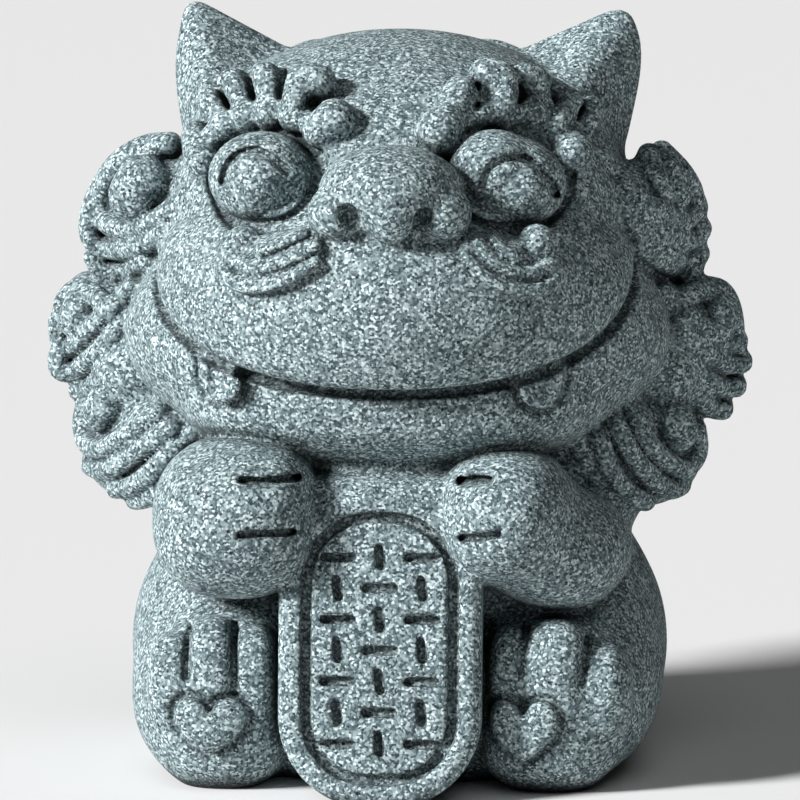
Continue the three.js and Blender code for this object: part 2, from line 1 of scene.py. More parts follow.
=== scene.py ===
"""A seated guardian lion that holds a long coin-shaped tablet, cast in one piece of pressed stone powder.

The lion is worked like clay: its forms are blended and its lines are cut in a lattice of distances to the
skin, and the skin is then drawn over the lattice as one mesh. Sizes are in millimetres, +Z is up, and the
face looks along -Y.
"""

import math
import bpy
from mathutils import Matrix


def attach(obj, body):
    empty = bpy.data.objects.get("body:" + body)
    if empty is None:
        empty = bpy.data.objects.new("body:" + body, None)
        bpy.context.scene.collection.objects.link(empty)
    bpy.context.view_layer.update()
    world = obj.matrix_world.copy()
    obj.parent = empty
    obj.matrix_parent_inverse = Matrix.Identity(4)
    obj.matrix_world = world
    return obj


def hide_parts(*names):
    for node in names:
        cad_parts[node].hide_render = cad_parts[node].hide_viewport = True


bl_info = {
    "name": "Lion tea pet",
    "version": (1, 0, 0),
    "blender": (4, 5, 0),
    "location": "3D View > Sidebar > Lion",
    "description": "Models a small stone lion that holds a tablet, on a pale floor",
    "category": "Add Mesh",
}

import bmesh
import bpy
import numpy as np
from mathutils import Matrix, Vector

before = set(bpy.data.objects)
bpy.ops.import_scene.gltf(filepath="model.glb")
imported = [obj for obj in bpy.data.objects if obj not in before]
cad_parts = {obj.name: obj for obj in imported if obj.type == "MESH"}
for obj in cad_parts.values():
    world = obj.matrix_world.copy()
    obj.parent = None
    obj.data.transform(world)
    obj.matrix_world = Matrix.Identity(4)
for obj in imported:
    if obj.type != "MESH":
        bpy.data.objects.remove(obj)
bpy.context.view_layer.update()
MM = 0.001

# The forms' middle line stands this far from the box's, in x and y.
OFF_CENTRE = (-0.11, -2.86)

# The lattice spans this field, and starts out as air that is far from any skin.
FIELD = ((-40.0, -36.5, -1.6), (40.0, 32.0, 82.0))
FAR = 60.0

# Raised relief lies between these depths, and a slot's walls run into its floor over a short width.
FRONT = (-36, -12)
SLOT_FLOOR = 0.3

# How widely each form runs into what lies under it, and each cut's rim is rounded over.
BLEND = dict(
    body=3.0, breast=1.5, mane=2.5, ruff=1.0, head=2.5, chin=2.0, smile=0.2, lip=0.15, nose=0.5, nose_tip=0.7,
    wing=0.6, nostril=0.4, brow_bed=0.8, hollow=0.8, lid=0.4, eye=0.3, crease=0.45, brow=0.35, brow_line=0.5,
    tuft_ball=0.15, ear=1.2, curl_bed=1.0, boss=0.8, lock_bed=0.8, button=0.2, strand=0.15, dome=1.5,
    winding=0.4, back_button=0.3, arm=3.0, paw=0.25, finger=0.3, tablet=0.4, ring=0.2, stroke=0.15, foot=2.0,
    toe=0.4, toe_slot=0.5, outline=0.4, tail=0.6,
)

# The large rounded forms, each an egg: centre, three radii and how square it is.
TORSO = dict(at=(0, 3, 18), radii=(24.5, 23, 22))
CHEST = dict(at=(0, -12, 27), radii=(15, 14, 11))
BREAST = dict(at=(-0.7, -19, 28.5), radii=(12.5, 8.2, 4.9), square=4)
LAP = dict(at=(0, -9, 6), radii=(22, 13, 10))
HAUNCHES = [
    *[dict(at=(side * 15.8, 0, 12), radii=(13.2, 22, 15.5)) for side in (-1, 1)],
    dict(at=(-19.5, -13, 8), radii=(8.2, 12.5, 9)),
    dict(at=(19.8, -12, 9.5), radii=(8.2, 12.5, 9.6)),
]
SHOULDERS = [dict(at=(side * 18, -4, 31), radii=(9, 11, 9)) for side in (-1, 1)]
MANE = dict(at=(0, 5.5, 46.5), radii=(32.2, 18.5, 22.5))
RUFF = dict(at=(0, 1, 46), radii=(31, 11.5, 18))
SKULL = dict(at=(0, 0, 54.8), radii=(26.2, 26.2, 23.2), square=2.1)
JAW = dict(at=(0, -6, 46.2), radii=(29, 23.5, 14.7))
CHIN = dict(at=(0, -12.5, 41), radii=(22, 16, 7.6), square=2.6)
MUZZLE = dict(at=(0, -8.5, 50), radii=(26.6, 25.5, 17))
FACE = [SKULL, JAW, MUZZLE]

# The smile: half a squared oval that the upper lip ends at, seen from the front, and the gap cut below it.
SMILE = dict(half_width=25, corner_z=54.8, low_z=42.8, squareness=2.3, gap=0.85, below=0.4, sunk=0.4)

# The upper lip's edge: how steeply it ends, how it falls off above the smile's corners, and how round it is.
LIP = dict(steepness=14, cheek_fall=1.2, edge=0.9)

# The fangs, from root to tip, and the groove round each: how far out it lies, and its depth.
FANGS = [[(-17.2, 46), (-17.1, 43)], [(15.6, 45.6), (15.4, 42.7)]]
FANG = dict(root=2.5, tip=2.1, rise=1.7, edge=0.5, groove_out=0.4, groove_depth=0.5)

# The nose: its ridge, and places from the ridge's middle of the tip, the wings and the slanting nostrils.
NOSE = dict(at=(0.3, 62.4), proud=0.6, radii=(7.4, 7.8, 4.8), wing=(2.9, 3.3, 2.9))
NOSTRIL = dict(top=1.25, foot=0.7)
NOSE_TIP = dict(at=(0.4, -4.8, -1.6), radii=(3.0, 3.9, 3.4))
WINGS = [(-5.4, -3.5, -1.9), (5.3, -3.5, -1.9)]
NOSTRILS = [
    [(-3.9, -6.4, -1.9), (-3.5, -6.2, -3.1), (-2.9, -5.8, -4.2)],
    [(3.1, -6.2, -1.9), (2.6, -6, -3.1), (1.9, -5.8, -4.3)],
]

# Each eye: the hollow round it, lid bosses and a ball, each as x, z and its radii, and the crease's path.
EYES = [
    dict(
        hollow=(-12.8, 63.5, 5.6, 5.0),
        lid=[(-13.2, 63.5, 5.6, 4.7)],
        ball=(-13.4, 62.7, 3.8),
        crease=[
            (-17, 63.2), (-16.5, 64.8), (-15.4, 66), (-14, 66.4), (-12.6, 66.1), (-11.4, 65.3), (-10.4, 64.4),
        ],
    ),
    dict(
        hollow=(11.6, 63.6, 6.3, 5.3),
        lid=[(10.5, 64.4, 4.7, 4.1), (12.9, 62.9, 5, 4.6)],
        ball=(13.4, 62.3, 3.5),
        crease=[
            (9.5, 63.2), (10.3, 64.9), (11.9, 65.8), (13.7, 65.7), (15.2, 64.8), (16.3, 63.4), (16.8, 62),
        ],
    ),
]
HOLLOW = dict(radius=1.0, depth=1.1)
LID = dict(sunk=0.6, radius=5.6)
BALL = dict(proud=0.6, longer=0.9)
CREASE = dict(radius=0.4, depth=0.8)

# The ears: corners of a leaning pyramid, its tip first, how far its walls stand out from them, and the width
# over which its edges are rounded.
EARS = [
    dict(
        out=1.6,
        corners=[
            (-22.4, 5, 79.3), (-23.6, 3, 73), (-10.4, 5, 72.9),
            (-22.2, 3, 66), (-17.6, -10, 64.5), (-16, 12, 63),
        ],
    ),
    dict(
        out=2.1,
        corners=[
            (22.9, 4, 77.8), (24.3, 3, 74.5), (11.1, 4, 72.6),
            (22.4, 3, 66), (14.5, -10, 66), (16, 12, 63),
        ],
    ),
]
EAR_EDGE = 2.0

# Brow locks, left then right: root radius, tip radius and path. An edge over each eye and a bed lie under
# them, and lines are cut between them.
BROWS = [
    (1.7, 2.4, [(-7.4, 68.2), (-5.8, 69.2)]),
    (1.8, 1.9, [(-9.9, 69.6), (-9.9, 71.9), (-9.0, 73.2), (-7.6, 73)]),
    (1.75, 1.8, [(-12.6, 69.6), (-13, 72), (-13.4, 73.3)]),
    (1.7, 1.75, [(-15.1, 69.2), (-16.2, 71.4), (-16.9, 72.6)]),
    (1.5, 1.4, [(-17.6, 68.3), (-18.7, 69.8), (-19.4, 70.8)]),
    (1.7, 1.8, [(-20.9, 67), (-20.4, 65.6), (-19.9, 64.7)]),
    (2.4, 2.4, [(4.8, 68), (5.3, 68.6)]),
    (1.9, 1.9, [(5, 68.4), (6.9, 71.2)]),
    (2.2, 2.2, [(6.7, 71), (7.2, 71.7)]),
    (1.9, 1.85, [(11, 69.9), (11.6, 72.2), (10.8, 73.6), (9.6, 73.8)]),
    (1.7, 1.65, [(14.1, 69.2), (15, 71.1), (14.7, 72.9), (13.5, 73.4)]),
    (1.75, 1.6, [(16, 68), (17.7, 69.3), (18.1, 70.6)]),
    (1.4, 1.3, [(19.6, 68.4), (20.6, 70.1)]),
    (2.1, 2.1, [(17.6, 67), (18.6, 65.8)]),
]
BROW_EDGES = [
    (1.25, 1.2, [(-19.4, 66.7), (-18.2, 68.1), (-16.2, 69.4), (-13.9, 70.3), (-11.2, 70.3), (-8.6, 69)]),
    (1.25, 1.3, [(7.4, 68.8), (9.4, 69.9), (12.1, 70.1), (14.6, 69.1), (16.8, 67.5)]),
]
BROW_LINES = [
    [(-11.6, 71.5), (-11.3, 73.8)],
    [(-14.5, 71.3), (-15, 73.8)],
    [(-17.2, 70.4), (-18, 72.2)],
    [(-9, 70.6), (-8, 71.3)],
    [(8.7, 70.8), (8.6, 72.8)],
    [(12.9, 71), (13.1, 73)],
    [(15.9, 70.6), (16.4, 72.4)],
    [(18.2, 68.4), (19.4, 70)],
]
BROW_RISE = 0.5
BROW_LINE = dict(radius=0.35, depth=0.5)
BROW_BED_RISE = -1.3
BROW_BEDS = [
    (2.4, 2.2, [(side * x, z) for x, z in [(8.6, 71.4), (12, 72.1), (15.5, 71.3), (18.6, 69.6)]])
    for side in (-1, 1)
]

# The tuft under each eye, seen from the front: a low bed, small balls and whisker locks.
TUFT_BED = dict(rise=0.7, soft=0.6)
TUFT_LOCK = dict(rise=0.8, soft=0.9)
TUFT_BALL_RISE = -0.6
TUFTS = [
    (
        [(1.8, 2.9, [(-8.2, 57.2), (-11.5, 55.9), (-14.6, 55.4)])],
        [(1.5, [(-14.9, 57.5), (-14.5, 57.6)])],
        [
            (0.5, 0.8, [(-8.2, 58.6), (-10.4, 57.7), (-12.6, 56.9)]),
            (0.7, 0.8, [(-7.2, 57.4), (-10, 56), (-12.6, 55.2), (-14.6, 55.3), (-16.6, 56.4)]),
            (0.6, 0.9, [(-7, 55.8), (-9.6, 54.2), (-12.4, 53.3), (-15, 53.4), (-16.8, 54.4)]),
        ],
    ),
    (
        [(1.6, 2.8, [(9, 57.2), (11.6, 55.8), (14.8, 55.5)])],
        [(1.9, [(15, 57.4), (15.4, 57.2)])],
        [
            (0.5, 0.8, [(10.6, 58.2), (11.8, 57), (13, 56.4)]),
            (0.6, 0.8, [(9.2, 57.8), (10.8, 55.9), (12.6, 54.9), (14.6, 54.7), (16.8, 55.4)]),
            (0.6, 0.9, [(8, 56.6), (9.6, 54.8), (11.6, 53.4), (14, 52.8), (16.2, 53.2), (17.7, 54.5)]),
        ],
    ),
]

# The mane's side curls lie on slopes that run back from the cheek: start in x and y, and fall by grade.
TOP = dict(x=22, y=-12.4, grade=1.04)
MIDDLE = dict(x=28, y=-9, grade=1.1)
LOW = dict(x=20, y=-17, grade=0.95)
BOSS = dict(depth=6, square=2.4, rim=0.1)
STRAND = 1.15
BUTTON_RISE = 1.1
LOCK_RISE = 0.9
LOCK_BED = dict(radius=1.25, sunk=2.2)
LOCK_FALL = 0.1

# Each side curl: its boss as x, z and two radii, its button's radius and path, and its locks, each laid a
# little lower than the one before. A small bed fills the gap between the cheek and the curls.
CURL_BEDS = [dict(at=(side * 28, -3, 41.5), radii=(5, 6, 5)) for side in (-1, 1)]
SIDE_CURLS = [
    dict(
        slope=TOP,
        boss=(-27.4, 58.8, 5.9, 6.8),
        button=(2.9, [(-26.9, 62.1), (-27.7, 60.7)]),
        locks=[
            [
                (-25.9, 64.9), (-28.3, 64.7), (-30.7, 62.6), (-32, 59.6), (-31.7, 57.5), (-29.2, 56.8),
                (-25.8, 57.9), (-22.8, 60),
            ],
            [
                (-24.2, 66), (-27.3, 65.4), (-30.9, 62.8), (-32.9, 59.6), (-33.5, 56.6), (-32.8, 54.9),
                (-30.6, 54.4), (-27, 55.4), (-23, 57.6),
            ],
            [(-33, 53.4), (-32.2, 52.2), (-29.8, 52), (-26.5, 53.6)],
        ],
    ),
    dict(
        slope=MIDDLE,
        boss=(-33.2, 44.8, 4.6, 6.8),
        button=(2.0, [(-34.1, 48.4), (-34.8, 46.8)]),
        locks=[
            [(-36.4, 47.6), (-36, 49), (-34.5, 49.9), (-32.6, 49.6), (-31, 48.3)],
            [(-28.4, 50.4), (-32.2, 46.8), (-34.7, 44.3), (-36.2, 43.5), (-36.8, 44.8), (-36.9, 46.4)],
            [(-28.4, 47.6), (-32.4, 43.4), (-35.1, 41.1), (-36.8, 41.2), (-37, 42.6)],
            [(-28.4, 44.8), (-31, 41.6), (-32.9, 39.7), (-34.8, 38.9)],
        ],
    ),
    dict(
        slope=LOW,
        boss=(-28.4, 33.8, 6.6, 6.4),
        button=(2.2, [(-30.9, 38.6), (-31.8, 37.2)]),
        locks=[
            [(-24, 38.8), (-28.8, 35.1), (-31.8, 33.3), (-33.8, 33.7), (-34.3, 35.7), (-33.9, 37.8)],
            [(-23, 37), (-28.4, 32.8), (-31.2, 31), (-33.2, 31.1)],
            [(-21.4, 35.8), (-25.3, 32.1), (-28, 29.8), (-30.2, 29.1)],
            [(-21, 32.8), (-25.3, 29.2), (-28, 28)],
        ],
    ),
    dict(
        slope=TOP,
        boss=(26.9, 58.2, 5.2, 6.4),
        button=(1.4, [(28.8, 63.4), (29.8, 60.6)]),
        locks=[
            [(26.6, 64.8), (27.2, 63), (28.4, 60.6)],
            [(28, 65), (30.1, 62.8), (31.3, 60.7), (31.5, 59)],
            [(21.4, 64.8), (25.3, 60.6), (28, 59.1), (30.5, 58), (31.8, 58.8)],
            [(22, 62.4), (26.7, 58.1), (29.2, 56.4), (31.4, 55.6), (32.3, 56.6)],
            [(23.4, 59), (29.5, 54), (31.3, 53.3), (32.1, 53.9)],
            [(25.6, 55.4), (30.2, 52.1), (31.4, 52.1)],
        ],
    ),
    dict(
        slope=MIDDLE,
        boss=(33, 43.8, 4.4, 7.4),
        button=(1.7, [(34.2, 48.3), (34.3, 46.8)]),
        locks=[
            [(29.8, 49.2), (32.2, 50.2), (34.1, 50), (35.2, 48.6), (35.8, 46.4)],
            [(28.4, 50.2), (32.3, 46.6), (34.5, 44.8), (36.3, 44.5)],
            [(28.4, 49), (32.3, 44.5), (35.1, 42.3), (36.8, 42.3)],
            [(28.8, 46.8), (31.9, 42), (34.3, 39.9), (36.2, 39.7)],
            [(28.2, 44.4), (31.4, 40), (33.3, 37.6), (34.8, 37.2)],
        ],
    ),
    dict(
        slope=LOW,
        boss=(26.4, 33.6, 6.4, 6.2),
        button=(2.3, [(29.5, 36.4), (29.7, 35.9)]),
        locks=[
            [(24.6, 38.8), (26.6, 35), (28.8, 32.7), (30.7, 31.7), (32, 33), (31.8, 35.2)],
            [(22.8, 38), (25, 33.7), (27.2, 31.1), (29, 29.6), (30.2, 29.8)],
            [(21, 37), (22.6, 32.6), (24.4, 30), (26.4, 28.6)],
            [(19, 36.4), (20.5, 32.2), (21.9, 30), (23.3, 28.8)],
        ],
    ),
]

# Plainer curls over the back of the mane: a dome, a button, and a lock that winds in between two reaches.
BACK_DOME = dict(at=(0, 0, -3.4), radii=(7.8, 7.4, 4.6))
BACK_BUTTON = dict(at=(0, 0, 0.2), radii=(2.0, 2.0, 2.0))
WINDING = dict(turns=(190, 620), reaches=(6.0, 2.6), spots=12, rise=0.2, root=1.7, tip=1.1)

# They stand in rows that bow round the head: height, distance back, backward tilt, size, and places across.
ROW_BOW = 0.014
ROW_TURN = 2.2
BACK_ROWS = [
    (73, 15, 50, 0.9, (-9.4, 9.4)),
    (63, 23, 24, 1.1, (-17, 0, 17)),
    (49.5, 25.5, 4, 1.15, (-25, -8.6, 8.6, 25)),
    (36, 22.5, -18, 1.15, (-17, 0, 17)),
]

# Each arm's eggs, and the slots between its fingers.
ARMS = [
    [
        dict(at=(-16.2, -20.4, 28.3), radii=(8.5, 12.4, 8.3), square=2.3),
        dict(at=(-12.9, -22.2, 29.4), radii=(5.1, 9.8, 6.9), square=3),
    ],
    [
        dict(at=(11.8, -21.5, 28.9), radii=(7.2, 11, 7.2), square=2.3),
        dict(at=(17.2, -16, 24.6), radii=(7.8, 12, 6.4)),
    ],
]
FINGER_SLOT = dict(radius=0.4, depth=1.0)
FINGER_SLOTS = [
    [
        [(-14.6, 33.6), (-12.6, 33.4), (-10.4, 33.6), (-9.2, 33.5)],
        [(-14.7, 28.2), (-12.3, 28.3), (-9.6, 28.3)],
    ],
    [[(10.4, 33.5), (8.8, 33.4), (7.3, 33.1)], [(11.3, 28.4), (9.4, 28), (7.6, 27.7)]],
]

# The tablet's outline and lean, the groove inside its rim, and rows of strokes, lying and standing by turns.
TABLET = dict(x=-0.8, half_width=10.4, top=32.5, corner=9.4, front=-32, back=-20, lean=8, bevel=1.4)
RING = dict(inset=2.9, radius=0.6, sunk=0.45)
STROKES = dict(rows=7, columns=3, across=4.3, low=6.6, high=25.6, radius=0.52, depth=0.4)
STROKE_KINDS = [dict(length=2.8, turn=0), dict(length=1.8, turn=82)]

# The feet, their toes and the slots between them, and the pads: middle in x and z, width and height.
FEET = [
    dict(at=(-17.6, -18.6, 8.4), radii=(7.2, 7.6, 9.4), square=2.5),
    dict(at=(16.4, -18.8, 8.4), radii=(7.8, 7.8, 9.4), square=2.5),
]
TOES = [
    dict(at=(-22.3, 11.2), radii=(3, 4, 5.1)),
    dict(at=(-18.4, 12.1), radii=(3.3, 4.4, 5.9)),
    dict(at=(-14.3, 11.6), radii=(3, 4, 5.6)),
    dict(at=(12.7, 11.9), radii=(3, 4, 5.5)),
    dict(at=(16.9, 12.1), radii=(4.1, 4.4, 6.1)),
    dict(at=(21.5, 10.4), radii=(3.6, 4.4, 5.2)),
]
TOE_RELIEF = 0.8
TOE_SQUARE = 2.5
TOE_SLOT = dict(radius=0.4, depth=0.6)
TOE_SLOTS = [
    [(-20.7, 16.6), (-20.8, 14.6), (-20.9, 12.2)],
    [(-16.2, 17), (-16, 14.4), (-15.9, 11.4)],
    [(14.1, 17), (13.6, 15.5), (13.5, 13)],
    [(20.2, 15.9), (19.9, 14.2), (19.6, 12.2)],
]
PADS = [(-18.4, 7.2, 7.8, 6.3), (13.8, 7.0, 7.6, 6.9)]
PAD = dict(rise=1.1, edge=0.8, inset=0.2, groove=0.45, groove_depth=0.5)
TAIL = dict(y=23.5, foot=4, top=23, spread=5.6, radius=4, tip=2.4, side_drop=6)

# The stone's soft clouds, how far its grains stand proud, and its pits: the spacing of the places where one
# may lie, the share of them that hold one, and a pit's radius.
CLOUD = dict(width=2.6, strength=0.35)
GRAIN_RISE = 0.06
PITS = dict(apart=1.5, share=0.28, radius=0.195)

# Sun lamps: name, where from, how wide their disc looks in degrees, and strength. The room adds an even glow.
LIGHTS = [("key", (-0.81, -0.42, 0.46), 12, 6.7), ("fill", (0.2, -0.4, 0.9), 40, 0.35)]
ROOM_GLOW = 0.035

# The floor reaches this many metres each way. The camera takes in this width at the lion's middle, and aims
# at this height.
FLOOR_REACH = 30.0
VIEW = dict(width=86.49, height=38)


class Clay:
    """The lattice: at each point, the distance to the skin in millimetres, below zero inside the stone."""

    def __init__(self, low, high, step):
        self.step = step
        self.axes = [np.arange(a, b + step, step, dtype=np.float32) for a, b in zip(low, high)]
        self.depth = np.full([len(axis) for axis in self.axes], FAR, np.float32)

    def near(self, low, high, margin):
        """The part of the lattice within a margin of a box, as slices and open axes."""
        spans = []
        for axis, a, b in zip(self.axes, low, high):
            first, last = np.searchsorted(axis, (a - margin, b + margin))
            spans.append(slice(max(first - 1, 0), last + 1))
        return tuple(spans), np.ix_(*[axis[span] for axis, span in zip(self.axes, spans)])

    def add(self, form, blend=0.5):
        """Joins a form on, with a fillet about as wide as the blend."""
        distance, low, high = form
        spans, (x, y, z) = self.near(low, high, 1.5 * blend + 3 * self.step)
        self.depth[spans] = smooth_least(self.depth[spans], distance(x, y, z), blend)

    def cut(self, form, blend=0.3):
        """Takes a form away, with its rim rounded over by about the blend."""
        distance, low, high = form
        spans, (x, y, z) = self.near(low, high, 1.5 * blend + 3 * self.step)
        self.depth[spans] = -smooth_least(-self.depth[spans], distance(x, y, z), blend)

    def front(self, x, z):
        """How far back the skin is first met at a place seen from the front."""
        across, up = (x - self.axes[0][0]) / self.step, (z - self.axes[2][0]) / self.step
        i, k = int(across), int(up)
        u, w = across - i, up - k
        block = self.depth[i : i + 2, :, k : k + 2]
        run = (1 - w) * ((1 - u) * block[0, :, 0] + u * block[1, :, 0])
        run = run + w * ((1 - u) * block[0, :, 1] + u * block[1, :, 1])
        j = int(np.argmax(run < 0))
        return self.axes[1][j] - self.step * run[j] / (run[j] - run[j - 1]) if j else 0.0

    def laid(self, path, proud=0.0):
        """A front path laid on the skin, as far proud of it as told."""
        return [(x, self.front(x, z) - proud, z) for x, z in along(path, 1.0)]

    def engrave(self, path, radius, depth, blend):
        """Cuts a slot of one depth into the skin along a front path."""
        line = flat_lock(path, radius)[0]
        low, high = lock(self.laid(path, -depth / 2), radius + depth / 2)[1:]
        spans, (x, _, z) = self.near(low, high, 1.5 * blend + 3 * self.step)
        held = self.depth[spans]
        slot = smooth_most(line(x, np.float32(0), z), -depth - held, SLOT_FLOOR)
        self.depth[spans] = -smooth_least(-held, slot, blend)

    def emboss(self, shapes, rise, soft, blend=0.1):
        """Raises the skin by one height inside shapes seen from the front, with a rim as soft as told."""
        low, high = np.min([shape[1] for shape in shapes], 0), np.max([shape[2] for shape in shapes], 0)
        spans, (x, _, z) = self.near((low[0], FRONT[0], low[2]), (high[0], FRONT[1], high[2]), 3 * self.step)
        held = self.depth[spans]
        flat = np.min([shape[0](x, np.float32(0), z) for shape in shapes], 0)
        raised = smooth_most(flat, held - rise, soft).astype(np.float32)
        self.depth[spans] = smooth_least(held, raised, blend)


def smooth_least(one, other, blend):
    """The lesser of two distances, rounded where they come within a blend of each other."""
    overlap = np.maximum(blend - np.abs(one - other), 0) / blend
    return np.minimum(one, other) - overlap * overlap * (blend / 4)


def smooth_most(one, other, blend):
    """The greater of two distances, rounded in the same way."""
    return -smooth_least(-one, -other, blend)


def egg(at, radii, square=2.0, grade=0.0, rim=0.0):
    """An egg-shaped form. Square over 2 fills its corners out, and grade shears its sides back.

    The rim is for front_of alone: how much of the front's bulge is left at the egg's outline.
    """
    middle, reach = np.array(at, float), np.array(radii, float)

    def distance(x, y, z):
        back = y - middle[1] - grade * (np.abs(x) - abs(middle[0]))
        parts = [(x - middle[0]) / reach[0], back / reach[1], (z - middle[2]) / reach[2]]
        sizes = [np.abs(part) for part in parts]
        f = sum(size**square for size in sizes) ** (1 / square)
        f = np.maximum(f, 0.02)
        slopes = [size ** (square - 1) / r for size, r in zip(sizes, reach)]
        across = slopes[0] - grade * np.sign(x) * np.sign(parts[0]) * np.sign(parts[1]) * slopes[1]
        steep = np.sqrt(across**2 + slopes[1] ** 2 + slopes[2] ** 2) * f ** (1 - square)
        return ((f - 1) / np.maximum(steep, 1e-4)).astype(np.float32)

    spread = reach + np.array((0, grade * reach[0], 0))
    return distance, middle - spread, middle + spread


def front_of(form, x, z):
    """The depth at which an egg's front is met at a place seen from the front."""
    at, radii, square = form["at"], form["radii"], form.get("square", 2.0)
    away = abs((x - at[0]) / radii[0]) ** square + abs((z - at[2]) / radii[2]) ** square
    left = max(1 - away, form.get("rim", 0.0))
    middle = at[1] + form.get("grade", 0.0) * (abs(x) - abs(at[0]))
    return middle - radii[1] * left ** (1 / square) if left > 0 else 0.0


def nearest(forms, x, z):
    """The depth at which the foremost of several eggs is met."""
    return min([front_of(form, x, z) for form in forms] + [0.0])


def laid_on(forms, path, proud=0.0):
    """A front path laid on forms, as far proud of them as told."""
    return [(x, nearest(forms, x, z) - proud, z) for x, z in along(path, 1.0)]


def along(points, step=0.7):
    """Points along a smooth curve through the given ones."""
    knots = np.array([points[0]] + list(points) + [points[-1]], float)
    knots[0] = 2 * knots[1] - knots[2]
    knots[-1] = 2 * knots[-2] - knots[-3]
    run = []
    for a, b, c, d in zip(knots, knots[1:], knots[2:], knots[3:]):
        count = max(2, int(np.linalg.norm(c - b) / step))
        t = np.linspace(0, 1, count, endpoint=False)[:, None]
        bend = (2 * a - 5 * b + 4 * c - d) * t**2 + (3 * b - a - 3 * c + d) * t**3
        run.append(0.5 * (2 * b + (c - a) * t + bend))
    return np.vstack(run + [knots[-2][None]])


def lock(points, radius, tip=None):
    """A lock of hair: a round-ended form along a curve, as thick at its root and tip as told."""
    spine = along(points)
    thick = np.linspace(radius, radius if tip is None else tip, len(spine))

    def distance(x, y, z):
        best = None
        for a, b, ra, rb in zip(spine, spine[1:], thick, thick[1:]):
            way = b - a
            share = ((x - a[0]) * way[0] + (y - a[1]) * way[1] + (z - a[2]) * way[2]) / max(way @ way, 1e-9)
            share = np.clip(share, 0, 1)
            off = [x - a[0] - share * way[0], y - a[1] - share * way[1], z - a[2] - share * way[2]]
            found = np.sqrt(off[0] ** 2 + off[1] ** 2 + off[2] ** 2) - (ra + share * (rb - ra))
            best = found if best is None else np.minimum(best, found)
        return best.astype(np.float32)

    return distance, (spine - thick[:, None]).min(0), (spine + thick[:, None]).max(0)


def flat_lock(path, radius, tip=None):
    """A lock as seen from the front only."""
    return lock([(x, 0, z) for x, z in path], radius, tip)


def joined(forms, blend):
    """Several forms run into each other, to be laid on as one."""

    def distance(x, y, z):
        held = forms[0][0](x, y, z)
        for form in forms[1:]:
            held = smooth_least(held, form[0](x, y, z), blend)
        return held

    low, high = np.min([form[1] for form in forms], 0), np.max([form[2] for form in forms], 0)
    return distance, low - blend / 3, high + blend / 3


def placed(form, matrix):
    """A form moved by a matrix that keeps its proportions."""
    distance, low, high = form
    back = np.array(matrix.inverted())
    size = matrix.median_scale
    spans = list(zip(low, high))
    corners = [matrix @ Vector((x, y, z)) for x in spans[0] for y in spans[1] for z in spans[2]]

    def moved(x, y, z):
        spots = [row[0] * x + row[1] * y + row[2] * z + row[3] for row in back[:3]]
        return distance(*spots) * size

    return moved, np.min(corners, 0), np.max(corners, 0)


def build_body(clay):
    """Torso, chest, lap and haunches run into each other; the arms and feet lie on them with a clear line."""
    for form in [TORSO, CHEST, LAP, *HAUNCHES, *SHOULDERS]:
        clay.add(egg(**form), BLEND["body"])
    clay.add(egg(**BREAST), BLEND["breast"])


def build_head(clay):
    """Skull and jaw, the gap of the smile, and the upper lip that overhangs it."""
    for form, blend in [(MANE, "mane"), (RUFF, "ruff"), (SKULL, "head"), (JAW, "head"), (CHIN, "chin")]:
        clay.add(egg(**form), BLEND[blend])
    angles = np.pi * (1 + np.linspace(0, 1, 29))
    power = 2 / SMILE["squareness"]
    across = SMILE["half_width"] * np.sign(np.cos(angles)) * np.abs(np.cos(angles)) ** power
    drop = (SMILE["corner_z"] - SMILE["low_z"]) * np.abs(np.sin(angles)) ** power
    line = [(x, SMILE["corner_z"] - fall - SMILE["below"]) for x, fall in zip(across, drop)]
    for path in FANGS:
        clay.engrave(path, FANG["root"] + FANG["groove_out"], FANG["groove_depth"], BLEND["outline"])
        clay.emboss([flat_lock(path, FANG["root"], FANG["tip"])], FANG["rise"], FANG["edge"])
    clay.cut(lock(clay.laid(line, -SMILE["sunk"]), SMILE["gap"]), BLEND["smile"])
    muzzle, low, high = egg(**MUZZLE)

    def upper_lip(x, y, z):
        fall = np.maximum(SMILE["corner_z"] - z, 0) / (SMILE["corner_z"] - SMILE["low_z"])
        wide = np.abs(x) / SMILE["half_width"]
        square = SMILE["squareness"]
        f = np.maximum((wide**square + fall**square) ** (1 / square), 0.05)
        edge = (f - 1) * LIP["steepness"] - LIP["cheek_fall"] * np.maximum(z - SMILE["corner_z"], 0)
        return smooth_most(muzzle(x, y, z), edge.astype(np.float32), LIP["edge"])

    clay.add((upper_lip, low, high), BLEND["lip"])


def build_nose(clay):
    """Ridge, tip and two wings, with slanting nostrils cut between them."""
    x, z = NOSE["at"]
    middle = np.array((x, nearest(FACE, 0, z), z))
    clay.add(egg(middle - (0, NOSE["proud"], 0), NOSE["radii"]), BLEND["nose"])
    clay.add(egg(middle + NOSE_TIP["at"], NOSE_TIP["radii"]), BLEND["nose_tip"])
    for place in WINGS:
        clay.add(egg(middle + place, NOSE["wing"]), BLEND["wing"])
    for path in NOSTRILS:
        nostril = lock([middle + place for place in path], NOSTRIL["top"], NOSTRIL["foot"])
        clay.cut(nostril, BLEND["nostril"])


